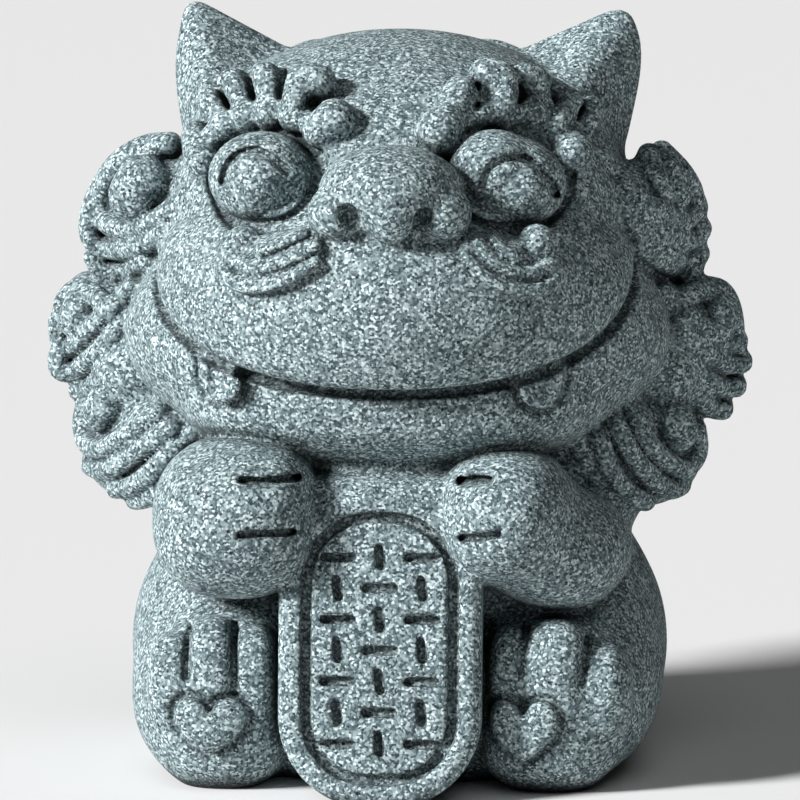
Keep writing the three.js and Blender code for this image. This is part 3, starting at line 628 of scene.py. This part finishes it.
def build_eyes(clay):
    """Each eye: a hollow all round, a round lid in it, and a ball under a crease."""
    for root, tip, path in BROW_BEDS:
        clay.add(lock(clay.laid(path, BROW_BED_RISE), root, tip), BLEND["brow_bed"])
    for eye in EYES:
        x, z, wide, tall = eye["hollow"]
        turns = np.linspace(0, 2 * np.pi, 25)
        ring = [(x + wide * math.cos(t), z + tall * math.sin(t)) for t in turns]
        clay.engrave(ring, blend=BLEND["hollow"], **HOLLOW)
        forms = []
        for x, z, across, up in eye["lid"]:
            y = nearest([SKULL], x, z) + LID["sunk"]
            forms.append(egg((x, y, z), (across, LID["radius"], up)))
        x, z, radius = eye["ball"]
        y = nearest([SKULL], x, z) - BALL["proud"]
        forms.append(egg((x, y, z), (radius, radius + BALL["longer"], radius)))
        clay.add(joined(forms, BLEND["lid"]), BLEND["eye"])
        clay.engrave(eye["crease"], blend=BLEND["crease"], **CREASE)


def build_hair(clay):
    """Brow locks with lines between them, and the tufts under the eyes, half sunk in their beds."""
    brows = [(clay.laid(path, BROW_RISE), root, tip) for root, tip, path in BROW_EDGES + BROWS]
    for spots, root, tip in brows:
        clay.add(lock(spots, root, tip), BLEND["brow"])
    for path in BROW_LINES:
        clay.engrave(path, blend=BLEND["brow_line"], **BROW_LINE)
    for bed, balls, strands in TUFTS:
        clay.emboss([flat_lock(path, root, tip) for root, tip, path in bed], **TUFT_BED)
        clay.emboss([flat_lock(path, root, tip) for root, tip, path in strands], **TUFT_LOCK)
        for radius, spot in balls:
            clay.add(lock(clay.laid(spot, TUFT_BALL_RISE), radius), BLEND["tuft_ball"])


def build_ears(clay):
    """Each ear: a leaning pyramid whose edges are rounded over."""
    for ear in EARS:
        corners = np.array(ear["corners"], float)
        frame_of_ear = bmesh.new()
        for corner in corners:
            frame_of_ear.verts.new(corner)
        bmesh.ops.convex_hull(frame_of_ear, input=frame_of_ear.verts)
        walls = []
        for face in frame_of_ear.faces:
            face.normal_update()
            facing = np.array(face.normal)
            start = np.array(face.verts[0].co)
            facing *= np.sign(facing @ (start - corners.mean(0)))
            walls.append((facing, facing @ start + ear["out"]))
        frame_of_ear.free()

        def pyramid(x, y, z, walls=walls):
            held = -FAR + 0 * (x + y + z)
            for facing, reach in walls:
                held = smooth_most(held, facing[0] * x + facing[1] * y + facing[2] * z - reach, EAR_EDGE)
            return held.astype(np.float32)

        clay.add((pyramid, corners.min(0) - 3, corners.max(0) + 3), BLEND["ear"])


def build_side_curls(clay):
    """Each side curl: a boss that leans back from the cheek, a button, and locks that sweep round it."""
    for form in CURL_BEDS:
        clay.add(egg(**form), BLEND["curl_bed"])
    for curl in SIDE_CURLS:
        x, z, width, height = curl["boss"]
        slope = curl["slope"]
        y = slope["y"] + slope["grade"] * (abs(x) - slope["x"]) + BOSS["depth"]
        radii = (width, BOSS["depth"], height)
        boss = dict(at=(x, y, z), radii=radii, grade=slope["grade"], square=BOSS["square"], rim=BOSS["rim"])
        clay.add(egg(**boss), BLEND["boss"])
        for path in curl["locks"]:
            bed = laid_on([boss], path, LOCK_RISE - LOCK_BED["sunk"])
            clay.add(lock(bed, LOCK_BED["radius"]), BLEND["lock_bed"])
        radius, path = curl["button"]
        clay.add(lock(laid_on([boss], path, BUTTON_RISE), radius), BLEND["button"])
        for order, path in enumerate(curl["locks"]):
            spots = laid_on([boss], path, LOCK_RISE - LOCK_FALL * order)
            clay.add(lock(spots, STRAND), BLEND["strand"])


def build_back_curls(clay):
    """Snail curls in rows: a low dome, a button, and a lock that winds in to it."""
    turns = np.radians(np.linspace(*WINDING["turns"], WINDING["spots"]))
    reaches = np.linspace(*WINDING["reaches"], WINDING["spots"])
    spiral = [(r * math.cos(t), r * math.sin(t), WINDING["rise"]) for r, t in zip(reaches, turns)]
    dome = egg(**BACK_DOME)
    button = egg(**BACK_BUTTON)
    winding = lock(spiral, WINDING["root"], WINDING["tip"])
    for z, y, tilt, size, places in BACK_ROWS:
        for x in places:
            place = Matrix.Translation((x, y - ROW_BOW * x * x, z))
            place = place @ Matrix.Rotation(math.pi - math.radians(ROW_TURN * x), 4, "Z")
            place = place @ Matrix.Rotation(math.pi / 2 - math.radians(tilt), 4, "X")
            place = place @ Matrix.Diagonal((-size if x > 0 else size, size, size, 1))
            clay.add(placed(dome, place), BLEND["dome"])
            clay.add(placed(winding, place), BLEND["winding"])
            clay.add(placed(button, place), BLEND["back_button"])


def build_arms(clay):
    """Each arm: a fat paw whose fingers are parted by slots."""
    for arm, slots in zip(ARMS, FINGER_SLOTS):
        clay.add(joined([egg(**form) for form in arm], BLEND["arm"]), BLEND["paw"])
        for path in slots:
            clay.engrave(path, blend=BLEND["finger"], **FINGER_SLOT)


def tablet_place():
    """From the tablet's own plane to where it leans."""
    lean = Matrix.Rotation(-math.radians(TABLET["lean"]), 4, "X")
    return Matrix.Translation((TABLET["x"], TABLET["front"], 0)) @ lean


def inside_outline(x, z):
    """Distance to the tablet's outline in its own plane, below zero inside."""
    corner, half, rise = TABLET["corner"], TABLET["half_width"], TABLET["top"] / 2
    wide = np.abs(x) - half + corner
    tall = np.abs(z - rise) - rise + corner
    return np.hypot(np.maximum(wide, 0), np.maximum(tall, 0)) + np.minimum(np.maximum(wide, tall), 0) - corner


def build_tablet(clay):
    """A long rounded plate that leans back, its rim set off by a groove, with rows of short strokes."""
    thick = (TABLET["back"] - TABLET["front"]) / 2
    bevel = TABLET["bevel"]

    def plate(x, y, z):
        edge = inside_outline(x, z) + bevel
        face = np.abs(y - thick) - thick + bevel
        held = np.hypot(np.maximum(edge, 0), np.maximum(face, 0)) + np.minimum(np.maximum(edge, face), 0)
        return (held - bevel).astype(np.float32)

    def ring(x, y, z):
        off = np.hypot(inside_outline(x, z) + RING["inset"], y - RING["sunk"])
        return (off - RING["radius"]).astype(np.float32)

    half, top = TABLET["half_width"], TABLET["top"]
    low, high = np.array((-half, 0, 0.0)), np.array((half, 2 * thick, top))
    place = tablet_place()
    clay.add(placed((plate, low, high), place), BLEND["tablet"])
    clay.cut(placed((ring, low - (0, 1, 0), np.array((half, 2, top))), place), BLEND["ring"])
    for row in range(STROKES["rows"]):
        for column in range(STROKES["columns"]):
            kind = STROKE_KINDS[(row + column) % 2]
            turn = math.radians(kind["turn"])
            length = kind["length"]
            x = (column - (STROKES["columns"] - 1) / 2) * STROKES["across"]
            z = STROKES["low"] + (STROKES["high"] - STROKES["low"]) * row / (STROKES["rows"] - 1)
            way = (length / 2 * math.cos(turn), -length / 2 * math.sin(turn))
            ends = [(x + side * way[0], STROKES["depth"], z + side * way[1]) for side in (-1, 1)]
            clay.cut(placed(lock(ends, STROKES["radius"]), place), BLEND["stroke"])


def heart_outline(width, height):
    """A heart as points round its edge, from the foot point up its right side."""
    half = width / 2
    arcs = [
        ((0, -0.5), (0.5, -0.3), (1, -0.1), (1, 0.18)),
        ((1, 0.18), (1, 0.6), (0.2, 0.6), (0, 0.3)),
    ]
    side = []
    for a, b, c, d in np.array(arcs):
        t = np.linspace(0, 1, 8, endpoint=False)[:, None]
        side.append((1 - t) ** 3 * a + 3 * (1 - t) ** 2 * t * b + 3 * (1 - t) * t**2 * c + t**3 * d)
    right = np.vstack(side + [[[0, 0.3]]])
    whole = np.vstack([right, right[-2:0:-1] * (-1, 1)])
    return whole * (half, height)


def polygon_distance(points, x, z):
    """Distance to a closed outline, below zero inside."""
    best = np.full(np.broadcast(x, z).shape, 1e6)
    inside = np.zeros(best.shape, bool)
    for (ax, az), (bx, bz) in zip(points, np.roll(points, -1, axis=0)):
        wx, wz = bx - ax, bz - az
        share = np.clip(((x - ax) * wx + (z - az) * wz) / (wx * wx + wz * wz + 1e-12), 0, 1)
        best = np.minimum(best, (x - ax - share * wx) ** 2 + (z - az - share * wz) ** 2)
        crossed = ((az > z) != (bz > z)) & (x < ax + wx * (z - az) / (wz if abs(wz) > 1e-9 else 1e-9))
        inside ^= crossed
    return np.where(inside, -1, 1) * np.sqrt(best)


def build_feet(clay):
    """Feet with three toes each, and a heart-shaped pad on the sole that faces forward."""
    for form in FEET:
        clay.add(egg(**form), BLEND["foot"])
    for toe in TOES:
        x, z = toe["at"]
        y = nearest(FEET, x, z) + toe["radii"][1] - TOE_RELIEF
        clay.add(egg((x, y, z), toe["radii"], TOE_SQUARE), BLEND["toe"])
    for path in TOE_SLOTS:
        clay.engrave(path, blend=BLEND["toe_slot"], **TOE_SLOT)
    for x, z, width, height in PADS:
        points = heart_outline(width, height) + (x, z)
        low = np.array((x - width / 2, 0, z - height / 2))
        high = np.array((x + width / 2, 0, z + height * 0.6))
        clay.engrave([*points, points[0]], PAD["groove"], PAD["groove_depth"], BLEND["outline"])

        def heart(px, _, pz, points=points):
            return polygon_distance(points, px, pz) + PAD["inset"]

        clay.emboss([(heart, low, high)], PAD["rise"], PAD["edge"])


def build_tail(clay):
    """Three thick locks that fan out up the back."""
    for lean in (-1, 0, 1):
        top = TAIL["top"] - TAIL["side_drop"] * abs(lean)
        points = [
            (lean * 2, TAIL["y"] - 2, TAIL["foot"]),
            (lean * TAIL["spread"], TAIL["y"] + 1.5, (TAIL["foot"] + top) / 2),
            (lean * TAIL["spread"], TAIL["y"] - 1, top),
        ]
        clay.add(lock(points, TAIL["radius"], TAIL["tip"]), BLEND["tail"])


def skin(clay):
    """Corners and four-sided faces of the skin: one corner in each cell that the skin runs through."""
    depth = clay.depth
    stone = depth < 0
    sides = [slice(None, -1), slice(1, None)]
    corners = [(i, j, k) for i in (0, 1) for j in (0, 1) for k in (0, 1)]
    filled = sum(stone[sides[i], sides[j], sides[k]].astype(np.int8) for i, j, k in corners)
    cells = np.argwhere((filled > 0) & (filled < 8))
    values = {c: depth[tuple((cells + c).T)].astype(float) for c in corners}
    total = np.zeros((len(cells), 3))
    hits = np.zeros(len(cells))
    for one in corners:
        for axis in range(3):
            if one[axis]:
                continue
            other = tuple(1 if a == axis else v for a, v in enumerate(one))
            crossed = (values[one] < 0) != (values[other] < 0)
            gap = np.where(crossed, values[one] - values[other], 1.0)
            spot = np.tile(np.array(one, float), (len(cells), 1))
            spot[:, axis] += values[one] / gap
            total += spot * crossed[:, None]
            hits += crossed
    spots = (cells + total / hits[:, None]) * clay.step + [axis[0] for axis in clay.axes]
    number = np.full([n - 1 for n in depth.shape], -1, np.int32)
    number[tuple(cells.T)] = np.arange(len(cells))
    faces = []
    for axis in range(3):
        ahead, behind = [slice(None)] * 3, [slice(None)] * 3
        ahead[axis], behind[axis] = slice(1, None), slice(None, -1)
        edges = np.argwhere(stone[tuple(ahead)] != stone[tuple(behind)])
        leaving = stone[tuple(behind)][tuple(edges.T)]
        u, v = [a for a in range(3) if a != axis]
        if axis == 1:
            u, v = v, u
        loop = []
        for du, dv in ((1, 1), (0, 1), (0, 0), (1, 0)):
            step = np.zeros(3, int)
            step[u], step[v] = du, dv
            loop.append(number[tuple((edges - step).T)])
        quads = np.stack(loop, 1)
        quads[~leaving] = quads[~leaving][:, ::-1]
        faces.append(quads)
    return spots, np.vstack(faces)


def mesh_from(name, spots, faces):
    """A mesh object from corners in millimetres and four-sided faces."""
    mesh = bpy.data.meshes.new(name)
    mesh.vertices.add(len(spots))
    mesh.vertices.foreach_set("co", (spots * MM).astype(np.float32).ravel())
    mesh.loops.add(faces.size)
    mesh.loops.foreach_set("vertex_index", faces.astype(np.int32).ravel())
    mesh.polygons.add(len(faces))
    mesh.polygons.foreach_set("loop_start", np.arange(0, faces.size, 4, dtype=np.int32))
    mesh.update(calc_edges=True)
    mesh.validate()
    made = bpy.data.objects.new(name, mesh)
    bpy.context.collection.objects.link(made)
    return made


def linear(code):
    """An sRGB hex colour as linear red, green, blue and alpha."""
    parts = [int(code[i : i + 2], 16) / 255 for i in (1, 3, 5)]
    return tuple(p / 12.92 if p <= 0.04045 else ((p + 0.055) / 1.055) ** 2.4 for p in parts) + (1.0,)


def hex_colour(code):
    """The same without alpha, for the panel."""
    return linear(code)[:3]


def add_node(tree, kind, settings=None, **sockets):
    """Adds a node with its settings, and fills each named socket with a value or another node's output."""
    made = tree.nodes.new("ShaderNode" + kind)
    for name, value in (settings or {}).items():
        setattr(made, name, value)
    for name, value in sockets.items():
        socket = next(s for s in made.inputs if name in (s.identifier, s.name.replace(" ", "_")))
        if isinstance(value, bpy.types.NodeSocket):
            tree.links.new(value, socket)
        else:
            socket.default_value = value
    return made


def new_material(name):
    """An empty material, named for what the real one is."""
    material = bpy.data.materials.new(name)
    material.use_nodes = True
    material.node_tree.nodes.clear()
    return material


def ramp(tree, factor, stops):
    """Colours along a factor, as pairs of place and colour."""
    made = add_node(tree, "ValToRGB", Fac=factor)
    while len(made.color_ramp.elements) < len(stops):
        made.color_ramp.elements.new(0.5)
    for element, (place, colour) in zip(made.color_ramp.elements, stops):
        element.position = place
        element.color = colour
    return made.outputs["Color"]


def stone_material(look):
    """Granite powder pressed with a binder: a dry, matte speckle of pale and dark grains, with black pits."""
    material = new_material("pressed granite powder, grey-green")
    tree = material.node_tree
    place = add_node(tree, "TexCoord").outputs["Object"]

    # Each crushed grain keeps its own shade.
    grain = add_node(tree, "TexVoronoi", Vector=place, Scale=1 / look.grain_width)
    pick = add_node(tree, "SeparateColor", Color=grain.outputs["Color"])
    shades = [look.dark, look.deep, look.middle, look.light, look.pale]
    places = (0.0, 0.24, 0.5, 0.76, 0.97)
    speckle = ramp(tree, pick.outputs["Red"], [(p, (*c, 1)) for p, c in zip(places, shades)])

    # Soft clouds keep the speckle from looking even.
    cloud = add_node(tree, "TexNoise", Vector=place, Scale=1 / (CLOUD["width"] * MM), Detail=3.0)
    veil = ramp(tree, cloud.outputs["Fac"], [(0.3, linear("#7d8685")), (0.7, linear("#b9c1bf"))])
    clouded = add_node(
        tree, "Mix", dict(data_type="RGBA", blend_type="OVERLAY"), Factor_Float=CLOUD["strength"],
        A_Color=speckle, B_Color=veil,
    )

    # A few small pits show black.
    pits = add_node(tree, "TexVoronoi", Vector=place, Scale=1 / (PITS["apart"] * MM))
    chosen = add_node(tree, "SeparateColor", Color=pits.outputs["Color"])
    rare = add_node(tree, "Math", dict(operation="GREATER_THAN"), Value=chosen.outputs["Green"])
    rare.inputs[1].default_value = 1 - PITS["share"]
    small = add_node(tree, "Math", dict(operation="LESS_THAN"), Value=pits.outputs["Distance"])
    small.inputs[1].default_value = PITS["radius"] / PITS["apart"]
    pit = add_node(tree, "Math", dict(operation="MULTIPLY"))
    tree.links.new(rare.outputs[0], pit.inputs[0])
    tree.links.new(small.outputs[0], pit.inputs[1])
    colour = add_node(
        tree, "Mix", dict(data_type="RGBA"), Factor_Float=pit.outputs[0],
        A_Color=clouded.outputs["Result"], B_Color=linear("#182021"),
    )

    # Painted shade in the recesses, with some dust, darkens them and draws the carving.
    # The occlusion paints shade into the colour wherever the skin is hemmed in.
    hollow = add_node(tree, "AmbientOcclusion", dict(samples=8), Distance=look.shade_and_dust_width)
    shade = ramp(tree, hollow.outputs["AO"], [(0.2, linear("#30383a")), (0.9, linear("#ffffff"))])
    dust_and_shade = add_node(
        tree, "Mix", dict(data_type="RGBA", blend_type="MULTIPLY"), Factor_Float=1.0,
        A_Color=colour.outputs[2], B_Color=shade,
    )

    # The grains stand a little proud, so the surface has no gloss.
    bump = add_node(tree, "Bump", Height=pick.outputs["Green"], Strength=0.3, Distance=GRAIN_RISE * MM)
    shader = add_node(
        tree, "BsdfPrincipled", Base_Color=dust_and_shade.outputs[2], Roughness=look.roughness, IOR=1.5,
        Specular_IOR_Level=0.35, Normal=bump.outputs["Normal"],
    )
    add_node(tree, "OutputMaterial", Surface=shader.outputs["BSDF"])
    return material


class LionForm(bpy.types.PropertyGroup):
    """How finely the lion is worked."""

    step: bpy.props.FloatProperty(
        name="Lattice step",
        description="Distance between lattice points; the finer, the crisper the carving",
        default=0.33 * MM,
        unit="LENGTH",
    )
    faces: bpy.props.IntProperty(
        name="Most triangles", description="The skin is thinned to about this many", default=190000
    )


class StoneLook(bpy.types.PropertyGroup):
    """The stone's grains, from dark to pale."""

    dark: bpy.props.FloatVectorProperty(
        name="Dark grain",
        description="Darkest grains",
        subtype="COLOR",
        default=hex_colour("#2c393d"),
    )
    deep: bpy.props.FloatVectorProperty(
        name="Deep grain",
        description="Grains darker than the body",
        subtype="COLOR",
        default=hex_colour("#4b5b60"),
    )
    middle: bpy.props.FloatVectorProperty(
        name="Body grain",
        description="Commonest grains",
        subtype="COLOR",
        default=hex_colour("#6f7e82"),
    )
    light: bpy.props.FloatVectorProperty(
        name="Light grain",
        description="Grains lighter than the body",
        subtype="COLOR",
        default=hex_colour("#93a2a5"),
    )
    pale: bpy.props.FloatVectorProperty(
        name="Pale grain",
        description="Palest grains",
        subtype="COLOR",
        default=hex_colour("#ccd7d9"),
    )
    grain_width: bpy.props.FloatProperty(
        name="Grain width",
        description="Width of one crushed grain",
        default=0.24 * MM,
        unit="LENGTH",
        precision=5,
    )
    # How wide the recesses take painted shade, with some dust, in the stone's colour.
    shade_and_dust_width: bpy.props.FloatProperty(
        name="Recess width",
        description="How wide a recess holds darker dust",
        default=2.2 * MM,
        unit="LENGTH",
    )
    roughness: bpy.props.FloatProperty(
        name="Roughness",
        description="Of the dry pressed surface",
        subtype="FACTOR",
        min=0,
        max=1,
        default=0.82,
    )


class StageLook(bpy.types.PropertyGroup):
    """Floor, camera and lights."""

    floor: bpy.props.FloatVectorProperty(
        name="Floor", description="Colour of the paper floor", subtype="COLOR", default=hex_colour("#e2e2e2")
    )
    azimuth: bpy.props.FloatProperty(
        name="Camera azimuth",
        description="Round the lion, from straight in front",
        subtype="ANGLE",
        default=math.radians(2.5),
    )
    elevation: bpy.props.FloatProperty(
        name="Camera elevation", description="Above the horizon", subtype="ANGLE", default=math.radians(7)
    )
    distance: bpy.props.FloatProperty(
        name="Camera distance", description="From the lion's middle", default=0.45, unit="LENGTH"
    )


class LION_OT_carve(bpy.types.Operator):
    """Carve the stone lion and its tablet as one piece"""

    bl_idname = "lion.carve"
    bl_label = "Lion"

    def execute(self, context):
        form = context.scene.lion_form
        step = 1 * form.step / MM
        clay = Clay(*FIELD, step)
        for build in (
            build_body, build_tail, build_feet, build_head, build_ears, build_side_curls, build_back_curls,
            build_eyes, build_hair, build_nose, build_tablet, build_arms,
        ):
            build(clay)
        z = clay.axes[2][None, None, :]
        clay.depth = np.maximum(clay.depth, -z)
        spots, faces = skin(clay)
        if len(faces) < 1000:
            raise RuntimeError("the skin came out empty")
        lion = mesh_from("stone_lion", spots - (*OFF_CENTRE, 0), faces)
        thin = lion.modifiers.new("thin", "DECIMATE")
        thin.ratio = min(1.0, form.faces / (2 * len(faces)))
        thinned = bpy.data.meshes.new_from_object(lion.evaluated_get(context.evaluated_depsgraph_get()))
        lion.modifiers.clear()
        lion.data = thinned
        thinned.shade_smooth()
        lion.data.materials.clear()
        lion.data.materials.append(stone_material(context.scene.lion_stone))
        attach(lion, "root")
        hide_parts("lion")
        return {"FINISHED"}


class LION_OT_stage(bpy.types.Operator):
    """Lay the pale floor, set the lights and the camera"""

    bl_idname = "lion.stage"
    bl_label = "Stage"

    def execute(self, context):
        look = context.scene.lion_stage
        scene = context.scene
        mesh = bpy.data.meshes.new("paper_floor")
        corners = [(-1, -1), (1, -1), (1, 1), (-1, 1)]
        mesh.from_pydata([(x * FLOOR_REACH, y * FLOOR_REACH, 0) for x, y in corners], [], [(0, 1, 2, 3)])
        floor = bpy.data.objects.new("paper_floor", mesh)
        scene.collection.objects.link(floor)
        # Matte paper has no sheen and throws soft light back up on the stone.
        paper = new_material("matte paper, pale")
        shader = add_node(paper.node_tree, "BsdfPrincipled", Base_Color=(*look.floor, 1), Roughness=0.9)
        add_node(paper.node_tree, "OutputMaterial", Surface=shader.outputs["BSDF"])
        mesh.materials.append(paper)

        world = bpy.data.worlds.new("soft room")
        world.use_nodes = True
        world.node_tree.nodes.clear()
        sky = add_node(world.node_tree, "Background", Color=(1, 1, 1, 1), Strength=ROOM_GLOW)
        add_node(world.node_tree, "OutputWorld", Surface=sky.outputs["Background"])
        scene.world = world

        turn = Matrix.Rotation(look.azimuth, 4, "Z")
        middle = Vector((-OFF_CENTRE[0], -OFF_CENTRE[1], VIEW["height"])) * MM
        for name, place, spread, strength in LIGHTS:
            lamp = bpy.data.lights.new(name + " light", "SUN")
            lamp.angle = math.radians(spread)
            lamp.energy = strength
            held = bpy.data.objects.new(name + " light", lamp)
            held.location = turn @ Vector(place)
            held.rotation_euler = (turn @ Vector(place)).to_track_quat("Z", "Y").to_euler()
            scene.collection.objects.link(held)

        back = Vector((
            math.sin(look.azimuth) * math.cos(look.elevation),
            -math.cos(look.azimuth) * math.cos(look.elevation),
            math.sin(look.elevation),
        ))
        lens = bpy.data.cameras.new("camera")
        lens.sensor_width = 36
        lens.angle = 2 * math.atan(VIEW["width"] * MM / 2 / look.distance)
        lens.clip_start, lens.clip_end = 0.01, 20
        camera = bpy.data.objects.new("camera", lens)
        camera.location = middle + back * look.distance
        camera.rotation_euler = back.to_track_quat("Z", "Y").to_euler()
        scene.collection.objects.link(camera)
        scene.camera = camera
        scene.view_settings.view_transform = "Standard"
        return {"FINISHED"}


class LION_PT_panel(bpy.types.Panel):
    """Shows the lion's settings and buttons in the sidebar"""

    bl_label = "Lion tea pet"
    bl_idname = "LION_PT_panel"
    bl_space_type = "VIEW_3D"
    bl_region_type = "UI"
    bl_category = "Lion"

    def draw(self, context):
        layout = self.layout
        rows = [("lion_form", "lion.carve"), ("lion_stone", None), ("lion_stage", "lion.stage")]
        for group, operator in rows:
            box = layout.box()
            held = getattr(context.scene, group)
            for name in held.__annotations__:
                box.prop(held, name)
            if operator:
                box.operator(operator)


CLASSES = (LionForm, StoneLook, StageLook, LION_OT_carve, LION_OT_stage, LION_PT_panel)
GROUPS = {"lion_form": LionForm, "lion_stone": StoneLook, "lion_stage": StageLook}


def register():
    for cls in CLASSES:
        bpy.utils.register_class(cls)
    for name, group in GROUPS.items():
        setattr(bpy.types.Scene, name, bpy.props.PointerProperty(type=group))


def unregister():
    for name in GROUPS:
        delattr(bpy.types.Scene, name)
    for cls in reversed(CLASSES):
        bpy.utils.unregister_class(cls)


def main():
    """Carve the lion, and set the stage."""
    register()
    bpy.ops.lion.carve()
    bpy.ops.lion.stage()


if __name__ == "__main__":
    main()
